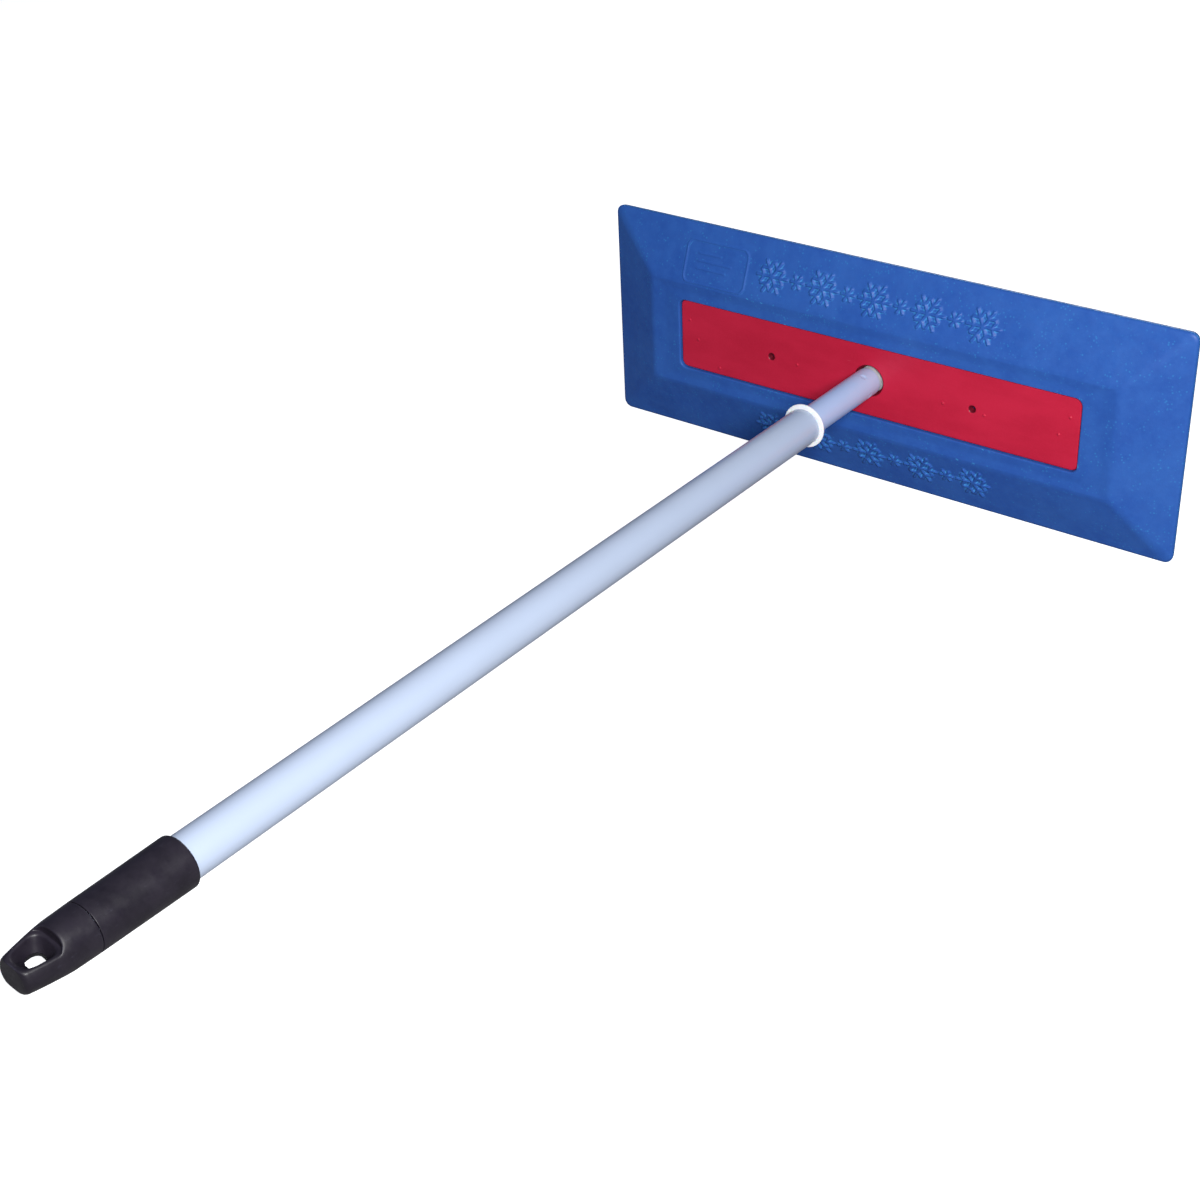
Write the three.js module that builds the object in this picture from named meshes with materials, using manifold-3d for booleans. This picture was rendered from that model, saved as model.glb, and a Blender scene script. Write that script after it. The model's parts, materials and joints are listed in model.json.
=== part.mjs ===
// Snow brush scraper: a foam push head on a telescopic pole with a twist lock and a hang-up cap.
//
// Millimetres. The tool is drawn along its own pole axis: Y runs from the grip (-Y) to the head (+Y),
// Z runs up the head, and Y = 0 is the outer edge of the head's back. At the end the whole tool is
// tipped about X until the head's lower edge and the grip both stand on the floor, and the origin goes
// to the middle of its bounding box, on the floor.
import * as THREE from "three";
import { mergeVertices } from "three/addons/utils/BufferGeometryUtils.js";
import Module from "manifold-3d";

const wasm = await Module();
wasm.setup();

// ---- Driving dimensions ----

// Foam head: a slab with a wide bevel all round its back and a rounded front edge.
const HEAD_WIDTH = 431.8;
const HEAD_HEIGHT = 157.5;
const HEAD_CORNER_RADIUS = 9;
const EDGE_THICKNESS = 10.8;
const FRONT_EDGE_RADIUS = 10;
const BEVEL_WIDTH = 40;
const BEVEL_RISE = 14.6;
const CREST_CORNER_RADIUS = 3;

// Mounting plate, let into the back of the foam, with a round boss that holds the pole.
const PLATE_WIDTH = 304.8;
const PLATE_HEIGHT = 50.8;
const PLATE_CORNER_RADIUS = 5;
const PLATE_THICKNESS = 4;
const PLATE_RECESS = 2;
const PLATE_HOLE_RADIUS = 2.6;
const PLATE_HOLE_OFFSET = 77;
const BOSS_RADIUS = 17;
const BOSS_FLOOR = 2;
const PLATE_MOUTH_RADIUS = 11;
const FOAM_SKIN = 3.4;

// Inner tube and the threaded tip crimped into its nose, with a shoulder that stops at the tube's end.
const INNER_RADIUS = 9.525;
const TUBE_WALL = 0.9;
const NOSE_Y = -13.5;
const INNER_REAR_Y = -621;
const THREAD_PITCH = 5.08;
const THREAD_RADIUS = 9.2;
const THREAD_ROOT_RADIUS = 7.9;
const THREAD_ROOT_WIDTH = 0.6 * THREAD_PITCH;
const THREAD_CREST_WIDTH = 0.35 * THREAD_PITCH;
const THREAD_STEPS_PER_TURN = 20;
const TIP_SHANK_LENGTH = 23;
const SHOULDER_LENGTH = 3;
const SHOULDER_RADIUS = 9.5;
const TIP_CHAMFER = 0.5;
const CRIMP_COUNT = 4;
const CRIMP_FROM_END = 12;
const CRIMP_DEPTH = 0.5;
const CRIMP_RADIUS = 3;
const CRIMP_TURN = THREE.MathUtils.degToRad(68);

// Outer tube and the collar bush in its mouth.
const OUTER_RADIUS = 12;
const MOUTH_Y = -92.7;
const OUTER_REAR_Y = -679.7;
const COLLAR_RADIUS = 14.6;
const COLLAR_FLANGE = 1.8;
const COLLAR_SLEEVE = 25;

// Twist lock: an eccentric journal on a plug in the inner tube, turning inside a split ring.
const ECCENTRICITY = 0.8;
const JOURNAL_RADIUS = 5.2;
const JOURNAL_LENGTH = 14;
const JOURNAL_CLEARANCE = 0.1;
const PLUG_LENGTH = 24;
const PLUG_FLANGE = 2;
const PLUG_HEAD_LENGTH = 3;
const PLUG_HEAD_RADIUS = 9;
const RING_SLOT = 3;

// Grip sleeve over the end of the outer tube, and the hang-up cap plugged into it.
const SLEEVE_FRONT_Y = -623.7;
const SLEEVE_FRONT_RADIUS = 14.1;
const GRIP_SEAM_Y = -680.3;
const GRIP_SEAM_RADIUS = 13.45;
const TAPER_START_Y = -694;
const TAPER_START_RADIUS = 13.1;
const TAPER_BEND_Y = -702;
const TAPER_BEND_RADIUS = 12.6;
const SHOULDER_END_Y = -716.8;
const SHOULDER_END_RADIUS = 10;
const TIP_Y = -719.4;
const TIP_BEND_RADIUS = 9.3;
const TIP_FLAT_RADIUS = 6.8;
const CAP_PLUG_LENGTH = 25;
const CAP_PLUG_CHAMFER = 1;
const CAP_WALL = 2;
const CAP_FLOOR = 4;
const HANG_HOLE_Y = -706.5;
const HANG_HOLE_RADIUS = 4.6;
const HANG_HOLE_TURN = THREE.MathUtils.degToRad(78);

// The cap's end has a flat on both sides of the hang hole, open to the tip, and a bowl in each flat.
// Roundness is 1 for an oval outline and less for a squarer one.
const FLAT_DEPTH = 7.2;
const FLAT_FRONT_Y = -697.7;
const FLAT_HALF_LENGTH = 24;
const FLAT_HALF_WIDTH = 11;
const FLAT_ROUNDNESS = 0.4;
const BOWL_FRONT_Y = -699;
const BOWL_REAR_Y = -717.6;
const BOWL_HALF_WIDTH = 7.4;
const BOWL_WIDENING = 1.4;
const BOWL_ROUNDNESS = 0.6;

// Clearances, small rounded edges, how far joined or cut shapes run past each other, and how finely
// round things are drawn.
const GAP = 0.3;
const SLIDING_GAP = 0.2;
const SMALL_ROUND = 0.8;
const OVERRUN = 1;
const ROUND_SEGMENTS = 48;
const CORNER_STEPS = 6;

// ---- Geometry helpers ----

// A closed three.js geometry as a manifold-3d solid.
function solidFrom(geometry) {
  const bare = geometry.clone();
  bare.deleteAttribute("normal");
  bare.deleteAttribute("uv");
  const merged = mergeVertices(bare, 1e-4);
  return new wasm.Manifold(
    new wasm.Mesh({
      numProp: 3,
      vertProperties: merged.attributes.position.array,
      triVerts: new Uint32Array(merged.index.array),
    }),
  );
}

// A manifold-3d solid as a three.js geometry.
function geometryFrom(solid) {
  const mesh = solid.getMesh();
  const geometry = new THREE.BufferGeometry();
  geometry.setAttribute("position", new THREE.BufferAttribute(mesh.vertProperties, 3));
  geometry.setIndex(new THREE.BufferAttribute(mesh.triVerts, 1));
  geometry.computeVertexNormals();
  return geometry;
}

// A solid of revolution about the pole axis. The profile is a list of [radius, y] that either starts
// and ends on the axis or closes on itself, and its outer wall runs towards +Y.
function revolve(profile) {
  const points = profile.map(([radius, y]) => new THREE.Vector2(radius, y));
  return new THREE.LatheGeometry(points, ROUND_SEGMENTS);
}

// A hollow tube about the pole axis.
function tube(outer, inner, fromY, toY) {
  return revolve([
    [inner, toY],
    [inner, fromY],
    [outer, fromY],
    [outer, toY],
    [inner, toY],
  ]);
}

// A plain rod about a line parallel to the pole axis.
function rod(radius, fromY, toY, offsetX = 0) {
  const geometry = new THREE.CylinderGeometry(radius, radius, toY - fromY, ROUND_SEGMENTS);
  return geometry.translate(offsetX, (fromY + toY) / 2, 0);
}

// Joins loops of equal point count into one closed skin, with flat ends. Seen from the first loop's
// side, every loop runs clockwise.
function loft(loops) {
  const count = loops[0].length;
  const triangles = [];
  const quad = (a, b, c, d) => triangles.push(a, b, c, a, c, d);
  for (let row = 0; row < loops.length - 1; row += 1) {
    for (let i = 0; i < count; i += 1) {
      const next = (i + 1) % count;
      quad(row * count + i, row * count + next, (row + 1) * count + next, (row + 1) * count + i);
    }
  }
  const last = (loops.length - 1) * count;
  for (let i = 1; i < count - 1; i += 1) {
    triangles.push(0, i + 1, i);
    triangles.push(last, last + i, last + i + 1);
  }
  const geometry = new THREE.BufferGeometry().setFromPoints(loops.flat());
  geometry.setIndex(triangles);
  return geometry;
}

// The outline of a rounded rectangle across the pole, at a place along it.
function rectangleLoop(width, height, radius, y) {
  const points = [];
  const corners = [
    [1, -1],
    [-1, -1],
    [-1, 1],
    [1, 1],
  ];
  corners.forEach(([sideX, sideZ], corner) => {
    const centreX = sideX * (width / 2 - radius);
    const centreZ = sideZ * (height / 2 - radius);
    for (let step = 0; step <= CORNER_STEPS; step += 1) {
      const angle = (corner + step / CORNER_STEPS) * (Math.PI / 2);
      points.push(
        new THREE.Vector3(centreX + radius * Math.cos(angle), y, centreZ - radius * Math.sin(angle)),
      );
    }
  });
  return points;
}

// A block with a rounded-rectangle outline, from one place along the pole to another.
function block(width, height, radius, fromY, toY) {
  return loft([rectangleLoop(width, height, radius, fromY), rectangleLoop(width, height, radius, toY)]);
}

// ---- Shared places along the pole ----

const FRONT_Y = EDGE_THICKNESS;
const LIP_Y = -BEVEL_RISE;
const PLATE_FACE_Y = LIP_Y + PLATE_RECESS;
const PLATE_BACK_Y = PLATE_FACE_Y + PLATE_THICKNESS;
const BOSS_END_Y = FRONT_Y - FOAM_SKIN - GAP;
const SOCKET_FLOOR_Y = BOSS_END_Y - BOSS_FLOOR;
const INNER_BORE = INNER_RADIUS - TUBE_WALL;
const OUTER_BORE = OUTER_RADIUS - TUBE_WALL;
const JOURNAL_END_Y = INNER_REAR_Y - PLUG_FLANGE - JOURNAL_LENGTH;
const RING_BORE = JOURNAL_RADIUS + ECCENTRICITY + JOURNAL_CLEARANCE;
const RING_RADIUS = OUTER_BORE - SLIDING_GAP;

// ---- Head ----

// The head's outline drawn in by an inset, at a place along the pole.
function edgeLoop(inset, y) {
  return rectangleLoop(HEAD_WIDTH - 2 * inset, HEAD_HEIGHT - 2 * inset, HEAD_CORNER_RADIUS, y);
}

// From the crest out to the edge, then round the front edge in a quarter circle.
function foamHead() {
  const crestWidth = HEAD_WIDTH - 2 * BEVEL_WIDTH;
  const crestHeight = HEAD_HEIGHT - 2 * BEVEL_WIDTH;
  const loops = [rectangleLoop(crestWidth, crestHeight, CREST_CORNER_RADIUS, LIP_Y), edgeLoop(0, 0)];
  for (let step = 0; step <= CORNER_STEPS; step += 1) {
    const angle = (step / CORNER_STEPS) * (Math.PI / 2);
    const inset = FRONT_EDGE_RADIUS * (1 - Math.cos(angle));
    loops.push(edgeLoop(inset, FRONT_Y - FRONT_EDGE_RADIUS * (1 - Math.sin(angle))));
  }
  const recess = block(
    PLATE_WIDTH + 2 * GAP,
    PLATE_HEIGHT + 2 * GAP,
    PLATE_CORNER_RADIUS + GAP,
    LIP_Y - OVERRUN,
    PLATE_BACK_Y + GAP,
  );
  const bossPocket = rod(BOSS_RADIUS + GAP, LIP_Y - OVERRUN, FRONT_Y - FOAM_SKIN);
  const slab = solidFrom(loft(loops));
  return geometryFrom(slab.subtract(solidFrom(recess)).subtract(solidFrom(bossPocket)));
}

// Plate, boss and pole socket in one moulding. The mouth takes the tube's nose, the rest the thread.
function mountingPlate() {
  const plate = block(PLATE_WIDTH, PLATE_HEIGHT, PLATE_CORNER_RADIUS, PLATE_FACE_Y, PLATE_BACK_Y);
  const boss = rod(BOSS_RADIUS, PLATE_FACE_Y + OVERRUN, BOSS_END_Y);
  const cutFrom = PLATE_FACE_Y - OVERRUN;
  const mouth = rod(PLATE_MOUTH_RADIUS, cutFrom, NOSE_Y + GAP + SHOULDER_LENGTH + GAP);
  const socket = rod(THREAD_RADIUS + GAP, cutFrom, SOCKET_FLOOR_Y);
  let solid = solidFrom(plate).add(solidFrom(boss));
  solid = solid.subtract(solidFrom(mouth)).subtract(solidFrom(socket));
  for (const side of [-1, 1]) {
    const hole = rod(PLATE_HOLE_RADIUS, cutFrom, PLATE_BACK_Y + OVERRUN, side * PLATE_HOLE_OFFSET);
    solid = solid.subtract(solidFrom(hole));
  }
  return geometryFrom(solid);
}

// ---- Inner pole ----

// Small round punch marks round the inner tube, which hold the plastic plug inside it.
function crimped(solid, y) {
  const reach = INNER_RADIUS - CRIMP_DEPTH + CRIMP_RADIUS;
  let marked = solid;
  for (let i = 0; i < CRIMP_COUNT; i += 1) {
    const angle = CRIMP_TURN + (i / CRIMP_COUNT) * 2 * Math.PI;
    const mark = new THREE.SphereGeometry(CRIMP_RADIUS, 16, 10);
    mark.translate(reach * Math.cos(angle), y, reach * Math.sin(angle));
    marked = marked.subtract(solidFrom(mark));
  }
  return marked;
}

function innerTube() {
  const pipe = solidFrom(tube(INNER_RADIUS, INNER_BORE, INNER_REAR_Y, NOSE_Y));
  const nose = crimped(pipe, NOSE_Y - CRIMP_FROM_END);
  return geometryFrom(crimped(nose, INNER_REAR_Y + CRIMP_FROM_END));
}

// One ridge wound round the tip as a helix, with a flat-topped section that is rooted in the core.
function threadRidge(fromY, toY) {
  const rootRadius = THREAD_ROOT_RADIUS - SLIDING_GAP;
  const travel = toY - fromY - THREAD_ROOT_WIDTH;
  const steps = Math.round((travel / THREAD_PITCH) * THREAD_STEPS_PER_TURN);
  const loops = [];
  for (let step = 0; step <= steps; step += 1) {
    const angle = (step / THREAD_STEPS_PER_TURN) * 2 * Math.PI;
    const y = fromY + THREAD_ROOT_WIDTH / 2 + (step / steps) * travel;
    const at = (radius, offset) =>
      new THREE.Vector3(radius * Math.sin(angle), y + offset, radius * Math.cos(angle));
    loops.push([
      at(rootRadius, THREAD_ROOT_WIDTH / 2),
      at(THREAD_RADIUS, THREAD_CREST_WIDTH / 2),
      at(THREAD_RADIUS, -THREAD_CREST_WIDTH / 2),
      at(rootRadius, -THREAD_ROOT_WIDTH / 2),
    ]);
  }
  return loft(loops);
}

function threadedTip() {
  const shankRadius = INNER_BORE - SLIDING_GAP;
  const shoulderFrom = NOSE_Y + GAP;
  const shoulderTo = shoulderFrom + SHOULDER_LENGTH;
  const endY = SOCKET_FLOOR_Y - GAP;
  const core = revolve([
    [0, NOSE_Y - TIP_SHANK_LENGTH],
    [shankRadius, NOSE_Y - TIP_SHANK_LENGTH],
    [shankRadius, shoulderFrom],
    [SHOULDER_RADIUS, shoulderFrom],
    [SHOULDER_RADIUS, shoulderTo],
    [THREAD_ROOT_RADIUS, shoulderTo],
    [THREAD_ROOT_RADIUS, endY - TIP_CHAMFER],
    [THREAD_ROOT_RADIUS - TIP_CHAMFER, endY],
    [0, endY],
  ]);
  const ridge = threadRidge(shoulderTo, endY - TIP_CHAMFER);
  return geometryFrom(solidFrom(core).add(solidFrom(ridge)));
}

// Plug in the inner tube's rear end. Its journal sits off the pole axis, and its head keeps the ring on.
function lockPlug() {
  const shank = rod(INNER_BORE - SLIDING_GAP, INNER_REAR_Y - OVERRUN, INNER_REAR_Y + PLUG_LENGTH);
  const flange = rod(INNER_RADIUS, INNER_REAR_Y - PLUG_FLANGE, INNER_REAR_Y - GAP);
  const journal = rod(
    JOURNAL_RADIUS,
    JOURNAL_END_Y - OVERRUN,
    INNER_REAR_Y - OVERRUN,
    ECCENTRICITY,
  );
  const head = rod(PLUG_HEAD_RADIUS, JOURNAL_END_Y - PLUG_HEAD_LENGTH, JOURNAL_END_Y);
  const pieces = [flange, journal, head].map(solidFrom);
  return geometryFrom(pieces.reduce((whole, piece) => whole.add(piece), solidFrom(shank)));
}

// Split ring round the journal. Turning the pole presses the journal against one side of its bore,
// which spreads the ring against the outer tube.
function lockRing() {
  const fromY = JOURNAL_END_Y + GAP;
  const toY = INNER_REAR_Y - PLUG_FLANGE - GAP;
  const outside = rod(RING_RADIUS, fromY, toY);
  const bore = rod(RING_BORE, fromY - OVERRUN, toY + OVERRUN, ECCENTRICITY);
  const slot = new THREE.BoxGeometry(RING_RADIUS, toY - fromY + 2 * OVERRUN, RING_SLOT);
  slot.translate((RING_BORE + RING_RADIUS) / 2, (fromY + toY) / 2, 0);
  return geometryFrom(
    solidFrom(outside).subtract(solidFrom(bore)).subtract(solidFrom(slot)),
  );
}

// ---- Outer pole ----

function outerTube() {
  return tube(OUTER_RADIUS, OUTER_BORE, OUTER_REAR_Y, MOUTH_Y - GAP);
}

// White bush in the tube's mouth: a flange outside, and a sleeve inside that the inner tube slides in.
function collarBush() {
  const bore = INNER_RADIUS + SLIDING_GAP;
  const sleeveRadius = OUTER_BORE - SLIDING_GAP;
  const flangeEnd = MOUTH_Y + COLLAR_FLANGE;
  return revolve([
    [bore, flangeEnd],
    [bore, MOUTH_Y - COLLAR_SLEEVE],
    [sleeveRadius - SMALL_ROUND, MOUTH_Y - COLLAR_SLEEVE],
    [sleeveRadius, MOUTH_Y - COLLAR_SLEEVE + 2 * SMALL_ROUND],
    [sleeveRadius, MOUTH_Y],
    [COLLAR_RADIUS - SMALL_ROUND, MOUTH_Y],
    [COLLAR_RADIUS, MOUTH_Y + SMALL_ROUND],
    [COLLAR_RADIUS, flangeEnd - SMALL_ROUND],
    [COLLAR_RADIUS - SMALL_ROUND, flangeEnd],
    [bore, flangeEnd],
  ]);
}

function gripSleeve() {
  const bore = OUTER_RADIUS + SLIDING_GAP;
  return revolve([
    [bore, SLEEVE_FRONT_Y],
    [bore, GRIP_SEAM_Y + GAP],
    [GRIP_SEAM_RADIUS, GRIP_SEAM_Y + GAP],
    [SLEEVE_FRONT_RADIUS, SLEEVE_FRONT_Y - 2 * SMALL_ROUND],
    [SLEEVE_FRONT_RADIUS - SMALL_ROUND, SLEEVE_FRONT_Y],
    [bore, SLEEVE_FRONT_Y],
  ]);
}

// The cap's outside, from the blunt tip forward to the seam with the grip sleeve.
function capOutline() {
  const outline = new THREE.Path();
  outline.moveTo(TIP_FLAT_RADIUS, TIP_Y);
  outline.quadraticCurveTo(TIP_BEND_RADIUS, TIP_Y, SHOULDER_END_RADIUS, SHOULDER_END_Y);
  outline.quadraticCurveTo(TAPER_BEND_RADIUS, TAPER_BEND_Y, TAPER_START_RADIUS, TAPER_START_Y);
  outline.lineTo(GRIP_SEAM_RADIUS, GRIP_SEAM_Y);
  return outline.getPoints(CORNER_STEPS).map((point) => [point.x, point.y]);
}

// A loop across the hang hole's axis, at a depth along it. It can widen towards the head.
function hangLoop(depth, middleY, halfLength, halfWidth, roundness, widening = 0) {
  const squared = (value) => Math.sign(value) * Math.abs(value) ** roundness;
  const points = [];
  for (let i = 0; i < ROUND_SEGMENTS; i += 1) {
    const angle = (i / ROUND_SEGMENTS) * 2 * Math.PI;
    const along = squared(Math.sin(angle));
    const across = squared(Math.cos(angle)) * (halfWidth + widening * along);
    points.push(new THREE.Vector3(across, middleY + halfLength * along, depth));
  }
  return points;
}

// One side's flat, cut away from its level to past the cap's surface.
function hangFlat() {
  const middleY = FLAT_FRONT_Y - FLAT_HALF_LENGTH;
  const depths = [FLAT_DEPTH, GRIP_SEAM_RADIUS + OVERRUN];
  return loft(
    depths.map((depth) => hangLoop(depth, middleY, FLAT_HALF_LENGTH, FLAT_HALF_WIDTH, FLAT_ROUNDNESS)),
  );
}

// One side's bowl, from a round throat just past the pole axis to a wide mouth in the flat.
function hangBowl() {
  const middleY = (BOWL_FRONT_Y + BOWL_REAR_Y) / 2;
  const halfLength = (BOWL_FRONT_Y - BOWL_REAR_Y) / 2;
  const mouths = [FLAT_DEPTH, FLAT_DEPTH + OVERRUN].map((depth) =>
    hangLoop(depth, middleY, halfLength, BOWL_HALF_WIDTH, BOWL_ROUNDNESS, BOWL_WIDENING),
  );
  return loft([hangLoop(-GAP, HANG_HOLE_Y, HANG_HOLE_RADIUS, HANG_HOLE_RADIUS, 1), ...mouths]);
}

function hangCap() {
  const plugRadius = OUTER_BORE - SLIDING_GAP;
  const plugEnd = GRIP_SEAM_Y + CAP_PLUG_LENGTH;
  const hollowFrom = GRIP_SEAM_Y + CAP_FLOOR;
  const body = revolve([
    [0, TIP_Y],
    ...capOutline(),
    [plugRadius, GRIP_SEAM_Y],
    [plugRadius, plugEnd - CAP_PLUG_CHAMFER],
    [plugRadius - CAP_PLUG_CHAMFER, plugEnd],
    [plugRadius - CAP_WALL, plugEnd],
    [plugRadius - CAP_WALL, hollowFrom],
    [0, hollowFrom],
  ]);
  let solid = solidFrom(body);
  for (const side of [0, Math.PI]) {
    for (const cut of [hangFlat(), hangBowl()]) {
      const turned = cut.rotateY(side + Math.PI / 2 - HANG_HOLE_TURN);
      solid = solid.subtract(solidFrom(turned));
    }
  }
  return geometryFrom(solid);
}

// ---- Assembly ----

const foamBlue = new THREE.MeshStandardMaterial({ color: 0x2f5fae, roughness: 0.75, metalness: 0 });
const plateRed = new THREE.MeshStandardMaterial({ color: 0xbd2540, roughness: 0.5, metalness: 0 });
const polePaint = new THREE.MeshStandardMaterial({ color: 0xccd4e6, roughness: 0.35, metalness: 0.1 });
const collarWhite = new THREE.MeshStandardMaterial({ color: 0xf2f2f4, roughness: 0.4, metalness: 0 });
const lockPale = new THREE.MeshStandardMaterial({ color: 0xcfcfd6, roughness: 0.45, metalness: 0 });
const gripBlack = new THREE.MeshStandardMaterial({ color: 0x2a2830, roughness: 0.5, metalness: 0 });

// How far the tool tips back to stand on the head's lower edge and on the lowest point of the grip.
function standingAngle() {
  const underside = [[SLEEVE_FRONT_RADIUS, SLEEVE_FRONT_Y - 2 * SMALL_ROUND], ...capOutline()];
  const slopes = underside.map(([radius, y]) => (HEAD_HEIGHT / 2 - radius) / -y);
  return Math.atan(Math.min(...slopes));
}

function namedMesh(name, geometry, material) {
  const mesh = new THREE.Mesh(geometry, material);
  mesh.name = name;
  return mesh;
}

const tool = new THREE.Group();
tool.add(
  namedMesh("foam_head", foamHead(), foamBlue),
  namedMesh("mounting_plate", mountingPlate(), plateRed),
  namedMesh("threaded_tip", threadedTip(), lockPale),
  namedMesh("inner_tube", innerTube(), polePaint),
  namedMesh("lock_plug", lockPlug(), lockPale),
  namedMesh("lock_ring", lockRing(), lockPale),
  namedMesh("outer_tube", outerTube(), polePaint),
  namedMesh("collar_bush", collarBush(), collarWhite),
  namedMesh("grip_sleeve", gripSleeve(), gripBlack),
  namedMesh("hang_cap", hangCap(), gripBlack),
);
tool.rotation.x = standingAngle();

const scraper = new THREE.Group();
scraper.add(tool);
const extent = new THREE.Box3().setFromObject(scraper, true);
const middle = extent.getCenter(new THREE.Vector3());
tool.position.set(-middle.x, -middle.y, -extent.min.z);

export default scraper;
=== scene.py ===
import json
import math

import bmesh
import bpy
import numpy as np
from mathutils import Matrix, Vector


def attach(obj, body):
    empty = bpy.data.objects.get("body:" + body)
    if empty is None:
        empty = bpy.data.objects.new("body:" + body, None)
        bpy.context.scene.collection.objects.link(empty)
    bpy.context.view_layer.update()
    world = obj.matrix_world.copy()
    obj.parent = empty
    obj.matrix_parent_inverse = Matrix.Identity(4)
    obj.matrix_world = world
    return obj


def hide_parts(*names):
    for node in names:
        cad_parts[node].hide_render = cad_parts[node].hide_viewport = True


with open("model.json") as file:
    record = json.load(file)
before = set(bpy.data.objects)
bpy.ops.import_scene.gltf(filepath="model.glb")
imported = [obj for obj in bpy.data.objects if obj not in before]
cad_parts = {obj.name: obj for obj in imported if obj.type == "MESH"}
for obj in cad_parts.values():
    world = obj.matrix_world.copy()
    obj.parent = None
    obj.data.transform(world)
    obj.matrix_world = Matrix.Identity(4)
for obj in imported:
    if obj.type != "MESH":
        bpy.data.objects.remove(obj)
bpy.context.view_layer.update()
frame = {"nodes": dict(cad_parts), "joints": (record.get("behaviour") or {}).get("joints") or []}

# Looks of a foam-head snow scraper on a telescopic pole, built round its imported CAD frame.
#
# Pieces are drawn in tool millimetres: Y runs along the pole from the grip to the head, Z up the head,
# X across it, and y = 0 is the outer edge of the head's back. Each object's matrix then carries its
# metres into the row frame, so a material's object coordinates follow the tool too.

MM = 0.001
FULL_TURN = 2 * math.pi

# ---- Where the frame puts the tool ----

HEAD_BEVEL_RISE = 14.6

joints = {joint["name"]: joint for joint in frame["joints"]}
pole_axis = Vector(joints["telescope"]["axis"]).normalized()
across_axis = Vector((1, 0, 0))
up_axis = across_axis.cross(pole_axis)
lock_centre = np.array(joints["twist_lock"]["pos_m"])
AXES = np.array([across_axis, pole_axis, up_axis])


def seen_from(origin, node):
    """A CAD node's vertices at rest, in millimetres along the tool's axes from an origin."""
    points = np.array([vertex.co for vertex in frame["nodes"][node].data.vertices])
    return (points - origin) @ AXES.T / MM


head_rear = seen_from(lock_centre, "foam_head")[:, 1].min()
ORIGIN = lock_centre + (head_rear + HEAD_BEVEL_RISE) * MM * AXES[1]
TOOL = Matrix.Translation(Vector(ORIGIN)) @ Matrix(AXES.T.tolist()).to_4x4()


class Place:
    """The room that a CAD node takes up, in tool millimetres."""

    def __init__(self, node):
        points = seen_from(ORIGIN, node)
        self.half_width, self.front, self.half_height = points.max(0)
        self.rear = points[:, 1].min()
        self.radius = self.half_width


head = Place("foam_head")
plate = Place("mounting_plate")
tip = Place("threaded_tip")
inner = Place("inner_tube")
plug = Place("lock_plug")
ring = Place("lock_ring")
outer = Place("outer_tube")
collar = Place("collar_bush")
sleeve = Place("grip_sleeve")
cap = Place("hang_cap")

# ---- Sizes that the looks add to the frame, in millimetres ----

# Foam head.
BEVEL_WIDTH = 40
OUTLINE_CORNER = 6
CREST_CORNER = 3
CREST_ROUND = 12
FRONT_ROUND = 10
BACK_EDGE_ROUND = 2.6
LIP_ROUND = 1.1
DISH_DEPTH = 0.6
RECESS_GAP = 0.3
FOAM_SKIN = 3.4
RELIEF_SPACING = 0.6
FRONT_SPACING = 9

# Raised marks on the foam's bevels.
FLAKE_COUNT = 5
FLAKE_RADIUS = 11.8
SMALL_FLAKE_RADIUS = 4.6
FLAKE_PITCH = 39.6
FLAKE_INSET = 23
BRANCH_PLACE = 0.52
BRANCH_LENGTH = 0.4
RELIEF_LINE = 3.4
RELIEF_HEIGHT = 1.3
PANEL_LINE = 2.2
PANEL_HEIGHT = 0.6
PANEL_X, PANEL_Z = -125, 54
PANEL_HALF_WIDTH, PANEL_HALF_HEIGHT = 25, 14
PANEL_CORNER = 5
BAR_START = -140
BAR_LENGTHS = (18, 27, 23)
BAR_TOP = 60
BAR_PITCH = 5

# Mounting plate and the pole's threaded tip.
PLATE_CORNER = 5
PLATE_THICKNESS = 4
BOSS_RADIUS = 17
PLATE_PIPS = ((145, 11), (-145, 11), (138, -2.5), (-138, -2.5), (-120, -20), (56, -2), (-56, -2), (86, -3))
PIP_RADIUS = 1.2
PIP_SINK = 0.6
PLATE_HOLE_RADIUS = 2.6
PLATE_HOLE_TAPER = 0.5
PLATE_HOLE_OFFSET = 77
PLATE_HOLE_DROP = 1
MOUTH_RADIUS = 11
SOCKET_RADIUS = 9.5
SOCKET_FLOOR = 2
THREAD_PITCH = 5.08
THREAD_ROOT_RADIUS = 7.9
THREAD_RADIUS = 9.2
SHOULDER_LENGTH = 3
SHOULDER_RADIUS = 8.8

# Tubes.
TUBE_WALL = 0.9
CRIMP_FROM_END = 12
CRIMP_RADIUS = 1.9
CRIMP_DEPTH = 0.45
CRIMP_TURN = math.radians(68)
CRIMP_COUNT = 4
SLIDING_GAP = 0.2

# Twist lock: the plug's journal and the ring's bore lie beside the pole axis.
ECCENTRICITY = 0.8
JOURNAL_RADIUS = 5.2
PLUG_FLANGE = 2
PLUG_HEAD_RADIUS = 9
PLUG_HEAD_LENGTH = 3
RING_BORE = 6.1
RING_SLOT = 3
RING_SLOT_FROM = 2
GROOVE_DEPTH = 0.25
GROOVE_PITCH = 2.6

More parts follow.
